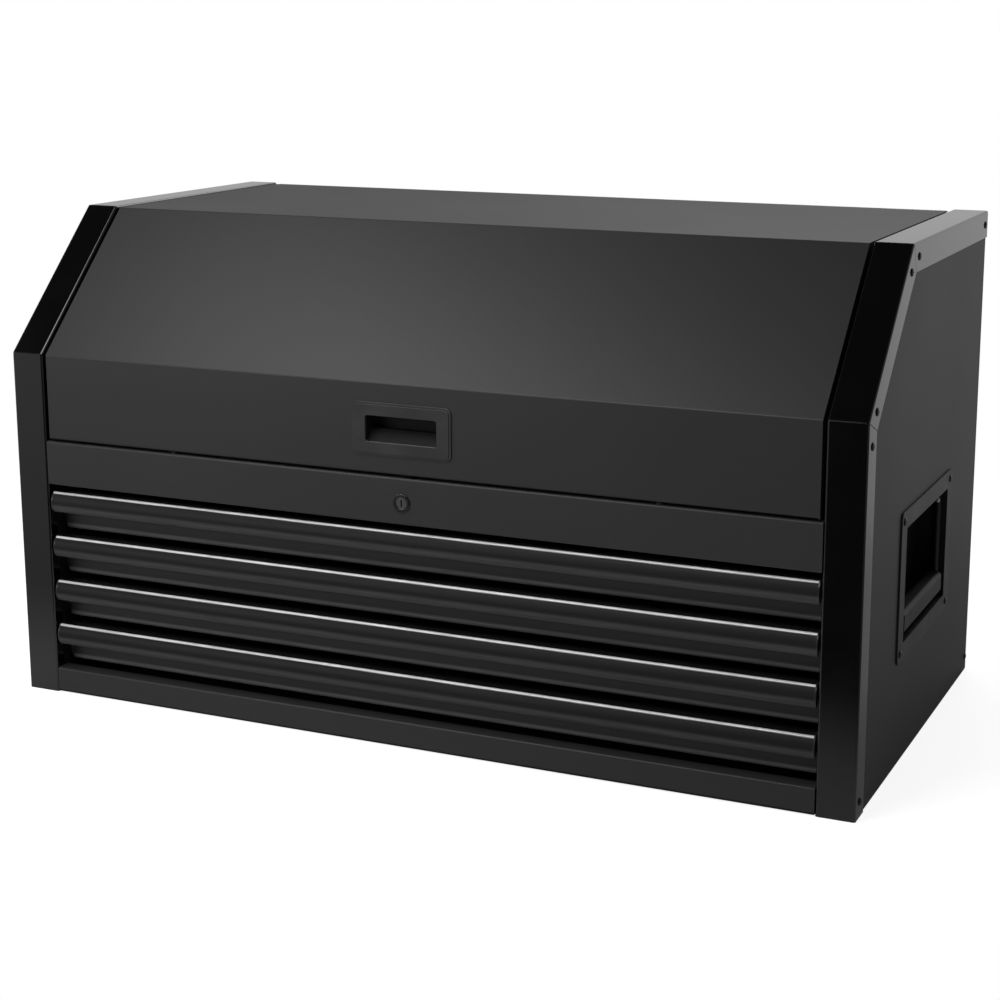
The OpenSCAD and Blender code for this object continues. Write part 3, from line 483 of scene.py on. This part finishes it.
second_skin(grip_plastic, on_arm, colour=(0.0035, 0.0035, 0.0038, 1), roughness=0.34,
            grain_size=0.0011, grain_depth=0.000004)
for side in ("left", "right"):
    dress(f"{side}_handle_tray", dish_plastic, 0.0006)
    dress(f"{side}_grip", grip_plastic)


# Drawer slides. Roll-formed cabinet members, carriers and runners of bright zinc-plated
# steel, with hardened balls in short cages between them.
def drawn_steel_group():
    """Fine lines that rolling or drawing leaves in steel along one axis."""
    group = bpy.data.node_groups.new("DrawnSteel", "ShaderNodeTree")
    face = group.interface
    face.new_socket("Stretch", in_out="INPUT", socket_type="NodeSocketVector")
    face.new_socket("Colour", in_out="INPUT", socket_type="NodeSocketColor")
    face.new_socket("Roughness", in_out="INPUT", socket_type="NodeSocketFloat")
    face.new_socket("Line Depth", in_out="INPUT", socket_type="NodeSocketFloat")
    face.new_socket("Colour", in_out="OUTPUT", socket_type="NodeSocketColor")
    face.new_socket("Roughness", in_out="OUTPUT", socket_type="NodeSocketFloat")
    face.new_socket("Normal", in_out="OUTPUT", socket_type="NodeSocketVector")
    given = group.nodes.new("NodeGroupInput").outputs
    place = add(group, "TexCoord").outputs["Object"]
    pulled = add(group, "VectorMath", {0: place, 1: given["Stretch"]}, operation="MULTIPLY").outputs[0]
    lines = add(group, "TexNoise", {"Vector": pulled, "Scale": 1.0, "Detail": 3.0}).outputs["Fac"]
    stain = add(group, "TexNoise", {"Vector": place, "Scale": 30.0, "Detail": 4.0}).outputs["Fac"]
    bump = add(group, "Bump", {"Height": lines, "Strength": 1.0, "Distance": given["Line Depth"]})
    shade = ramp(group, stain, 0.3, 0.7, 0.84, 1.06)
    tint = add(group, "VectorMath", {0: given["Colour"], "Scale": shade}, operation="SCALE").outputs[0]
    dull = add(group, "Math", {0: lines, 1: 0.18, 2: given["Roughness"]},
               operation="MULTIPLY_ADD").outputs[0]
    dull = add(group, "Math", {0: stain, 1: 0.12, 2: dull}, operation="MULTIPLY_ADD").outputs[0]
    out = group.nodes.new("NodeGroupOutput").inputs
    group.links.new(tint, out["Colour"])
    group.links.new(dull, out["Roughness"])
    group.links.new(bump.outputs[0], out["Normal"])
    return group


drawn_steel = drawn_steel_group()


def bare_metal(name, colour, roughness, along="Y", line_depth=0.00001, metallic=1.0):
    """Plated or polished metal with fine lines along one axis."""
    finish = bpy.data.materials.new(name)
    finish.use_nodes = True
    tree = finish.node_tree
    stretch = [12.0 if axis == along else 1800.0 for axis in "XYZ"]
    skin = place_group(tree, drawn_steel, stretch=stretch, colour=(*colour, 1),
                       roughness=roughness - 0.14, line_depth=line_depth)
    metal = tree.nodes["Principled BSDF"].inputs
    metal["Metallic"].default_value = metallic
    tree.links.new(skin.outputs["Colour"], metal["Base Color"])
    tree.links.new(skin.outputs["Roughness"], metal["Roughness"])
    tree.links.new(skin.outputs["Normal"], metal["Normal"])
    return finish


drawer_numbers = range(1, 5)
slide_zinc = bare_metal("slide_zinc", (0.58, 0.60, 0.63), 0.34)
dress("cabinet_slides", slide_zinc)
for n in drawer_numbers:
    dress(f"slide_carriers_{n}", slide_zinc)
    dress(f"drawer_{n}_runners", slide_zinc)


# Bail pins. The zinc-plated rivet heads that hold each bail's arms to their pins, on the
# arms' inner faces.
head_radius = 0.0034
head_depth = 0.0016
head_sink = 0.0006
for side in ("left", "right"):
    low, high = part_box(f"{side}_grip")
    heads = bmesh.new()
    for end in (-1, 1):
        foot = end * (arm_offset - bail_thickness / 2 + head_sink)
        where = Vector(((low.x + high.x) / 2, grip_middle + foot, high.z - bail_thickness / 2))
        shape = Matrix.Translation(where) @ Matrix.Diagonal((head_radius, head_depth, head_radius, 1))
        bmesh.ops.create_uvsphere(heads, u_segments=32, v_segments=16, radius=1.0, matrix=shape)
    mesh = bpy.data.meshes.new(f"{side}_bail_pins")
    heads.to_mesh(mesh)
    heads.free()
    mesh.shade_smooth()
    mesh.materials.append(slide_zinc)
    pins = bpy.data.objects.new(f"{side}_bail_pins", mesh)
    bpy.context.scene.collection.objects.link(pins)
    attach(pins, f"{side}_grip")


# Drawers. Each is one folded and welded steel tray whose front stands proud at both
# ends, in the satin dark grey powder coat, painted paler along the front's rounded foot
# as a painted highlight.
def painted_light_band(finish, colour, lowest, pitch, full, none, front=None):
    """Brings another colour through a finish, in broken streaks, near the foot of each drawer.

    It is full up to one height above each step of the pitch and gone at the other. The colour
    is painted light: a pale one paints highlights and reflections, a dark one paints shade.
    Given a front, it keeps to the face there.
    """
    face_depth = (0.003, 0.006)
    tree = finish.node_tree
    skin = tree.nodes["Group"]
    place = add(tree, "TexCoord").outputs["Object"]
    axes = add(tree, "SeparateXYZ", {"Vector": place}).outputs
    above = add(tree, "Math", {0: axes["Z"], 1: lowest}, operation="SUBTRACT").outputs[0]
    height = add(tree, "Math", {0: above, 1: pitch}, operation="FLOORED_MODULO").outputs[0]
    band = ramp(tree, height, full, none, 1.0, 0.0)
    pulled = add(tree, "VectorMath", {0: place, 1: (14.0, 300.0, 900.0)}, operation="MULTIPLY").outputs[0]
    streak = add(tree, "TexNoise", {"Vector": pulled, "Scale": 1.0, "Detail": 3.0}).outputs["Fac"]
    broken = ramp(tree, streak, 0.25, 0.65, 0.5, 0.9)
    painted_mask = add(tree, "Math", {0: band, 1: broken}, operation="MULTIPLY").outputs[0]
    if front is not None:
        face = ramp(tree, axes["Y"], front + face_depth[0], front + face_depth[1], 1.0, 0.0)
        painted_mask = add(tree, "Math", {0: painted_mask, 1: face}, operation="MULTIPLY").outputs[0]
    tint = add(tree, "Mix", data_type="RGBA")
    tree.links.new(painted_mask, tint.inputs["Factor"])
    tree.links.new(skin.outputs["Colour"], tint.inputs["A"])
    tint.inputs["B"].default_value = (*colour, 1)
    tree.links.new(tint.outputs["Result"], tree.nodes["Principled BSDF"].inputs["Base Color"])


tray_paint = powder_coat("tray_paint", (0.0286, 0.0274, 0.0279), 0.46, sheen=0.5)
foot_highlight_band = (0.0045, 0.0085)
lowest_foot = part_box("drawer_4_tray")[0]
drawer_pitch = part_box("drawer_3_tray")[0][2] - lowest_foot[2]
# Paler streaks along each drawer front's rounded foot: a painted highlight.
painted_light_band(tray_paint, (0.250, 0.243, 0.246), lowest_foot[2], drawer_pitch, *foot_highlight_band, lowest_foot[1])
for n in drawer_numbers:
    dress(f"drawer_{n}_tray", tray_paint, 0.0003)


# Drawer pulls. A bowed extrusion in a satin dark coat, painted paler along its lower half
# as a painted reflection of the floor, lies on each drawer front, with end caps and, in its
# front edge, a polished strip whose near-white, mostly unmetallic colour is a painted
# reflection, painted dark along its foot as shade where it meets the pull.
pull_reflection_band = (0.006, 0.0115)
strip_foot_shade = (0.0005, 0.0011)
pull_coat = powder_coat("pull_coat", (0.0154, 0.0147, 0.0150), 0.48, sheen=0.18,
                        peel_size=0.0009, peel_depth=0.00001)
lowest_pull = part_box("drawer_4_pull")[0][2]
# Paler streaks along the lower half of each pull: a painted reflection of the floor.
painted_light_band(pull_coat, (0.092, 0.089, 0.090), lowest_pull, drawer_pitch, *pull_reflection_band)
# The strip's near-white, mostly unmetallic colour is a painted reflection standing in for polished metal.
strip_polish_painted_glint = bare_metal("strip_polish_painted_glint", (0.95, 0.95, 0.95), 0.36, along="X",
                          line_depth=0.000001, metallic=0.15)
lowest_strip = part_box("drawer_4_strip")[0][2]
# Darker along the strip's foot: painted shade where it meets the pull.
painted_light_band(strip_polish_painted_glint, (0.03, 0.03, 0.03), lowest_strip, drawer_pitch, *strip_foot_shade)
cap_plastic = moulding("cap_plastic", (0.031, 0.0297, 0.030), 0.22, grain_depth=0.000015)
for n in drawer_numbers:
    dress(f"drawer_{n}_pull", pull_coat)
    dress(f"drawer_{n}_strip", strip_polish_painted_glint)
    dress(f"drawer_{n}_caps", cap_plastic, 0.0008)


# Piano hinge. Two zinc-plated steel leaves rolled into alternate knuckles round one long
# pin, spot welded to the back panel and under the lid's rear edge.
hinge_steel = bare_metal("hinge_steel", (0.46, 0.47, 0.49), 0.38, along="X")
for part in ("hinge_case_leaf", "hinge_lid_leaf", "hinge_pin"):
    dress(part, hinge_steel)


# Lid. One sheet folded over front, slope and top, with skirts at its sides, stiffened
# below by folded channels, and two rubber bumpers that it comes down on.
lid_paint = powder_coat("lid_paint", (0.0238, 0.0228, 0.0233), 0.47, sheen=0.46)
dress("lid_panel", lid_paint, 0.0003)
dress("lid_stiffeners", carcass_paint, 0.0003)
dress("lid_bumpers", moulding("bumper_rubber", (0.008, 0.008, 0.008), 0.7), 0.0004)


# Lid pull. A moulded plate with bevelled edges round a finger pocket, snapped into a
# cut-out in the upright front of the lid.
def painted_ledge_highlights(finish, keep_off, highlight_tone):
    """Paints a highlight: paler colour, in patches, where a moulding's edges face up, but none where
    keep_off is 1.
    """
    tree = finish.node_tree
    plastic = tree.nodes["Principled BSDF"].inputs
    coords = add(tree, "TexCoord").outputs
    upward = add(tree, "SeparateXYZ", {"Vector": coords["Normal"]}).outputs["Z"]
    lit_faces = ramp(tree, upward, 0.25, 0.70, 0.0, 1.0)
    patchy = add(tree, "TexNoise", {"Vector": coords["Object"], "Scale": 160.0, "Detail": 2.0})
    thin = ramp(tree, patchy.outputs["Fac"], 0.3, 0.6, 0.6, 1.0)
    lit_faces = add(tree, "Math", {0: lit_faces, 1: thin}, operation="MULTIPLY").outputs[0]
    kept_on = add(tree, "Math", {0: 1.0, 1: keep_off}, operation="SUBTRACT").outputs[0]
    lit_faces = add(tree, "Math", {0: lit_faces, 1: kept_on}, operation="MULTIPLY").outputs[0]
    tint = add(tree, "Mix", data_type="RGBA")
    tree.links.new(lit_faces, tint.inputs["Factor"])
    tree.links.new(plastic["Base Color"].links[0].from_socket, tint.inputs["A"])
    tint.inputs["B"].default_value = (highlight_tone, highlight_tone, highlight_tone, 1)
    tree.links.new(tint.outputs["Result"], plastic["Base Color"])


plate_sheen = 0.28
lip_depth = 0.0028
lip_fade = 0.0015
ledge_highlight_tone = 0.22
lid_pull_plastic = moulding("lid_pull_plastic", (0.0450, 0.0432, 0.0440), 0.34)
pull_tree = lid_pull_plastic.node_tree
pull_tree.nodes["Principled BSDF"].inputs["Specular IOR Level"].default_value = plate_sheen
pull_y = add(pull_tree, "SeparateXYZ", {"Vector": add(pull_tree, "TexCoord").outputs["Object"]}).outputs["Y"]
pocket_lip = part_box("lid_pull")[0].y + lip_depth
in_pocket = ramp(pull_tree, pull_y, pocket_lip, pocket_lip + lip_fade, 0.0, 1.0)
# Inside the pocket: a darker colour, which is painted shade in the recess, and a rougher, coarser grain.
second_skin(lid_pull_plastic, in_pocket, colour=(0.008, 0.008, 0.008, 1), roughness=0.72,
            grain_size=0.0011, grain_depth=0.00009)
# Upward-facing edges painted paler in patches: a painted highlight.
painted_ledge_highlights(lid_pull_plastic, in_pocket, ledge_highlight_tone)
dress("lid_pull", lid_pull_plastic, 0.0006)


# Lid struts. Gas springs: a semi-gloss black tube and a hard chromed rod, each with an
# eye on a plated stud, one on the inner wall and one on a bracket under the lid.
strut_enamel = gloss_enamel("strut_enamel", (0.006, 0.006, 0.006), 0.20)
rod_chrome = bare_metal("rod_chrome", (0.62, 0.63, 0.65), 0.16, along="Z", line_depth=0.000001)
for side in ("left", "right"):
    dress(f"{side}_strut_tube", strut_enamel)
    dress(f"{side}_strut_rod", rod_chrome)
dress("strut_studs", hinge_steel)
dress("strut_brackets", hinge_steel)


# Lock. A black chromed barrel with a raised bezel, and a turning plug of dark nickelled
# brass with a keyway, whose cam swings behind the lid's strike.
black_chrome = bare_metal("black_chrome", (0.08, 0.08, 0.084), 0.20, along="Z", line_depth=0.00001)
dark_nickel = bare_metal("dark_nickel", (0.26, 0.26, 0.26), 0.17, along="Z", line_depth=0.00006)
dress("lock_barrel", black_chrome, 0.0005)
dress("lock_plug", dark_nickel, 0.0003)
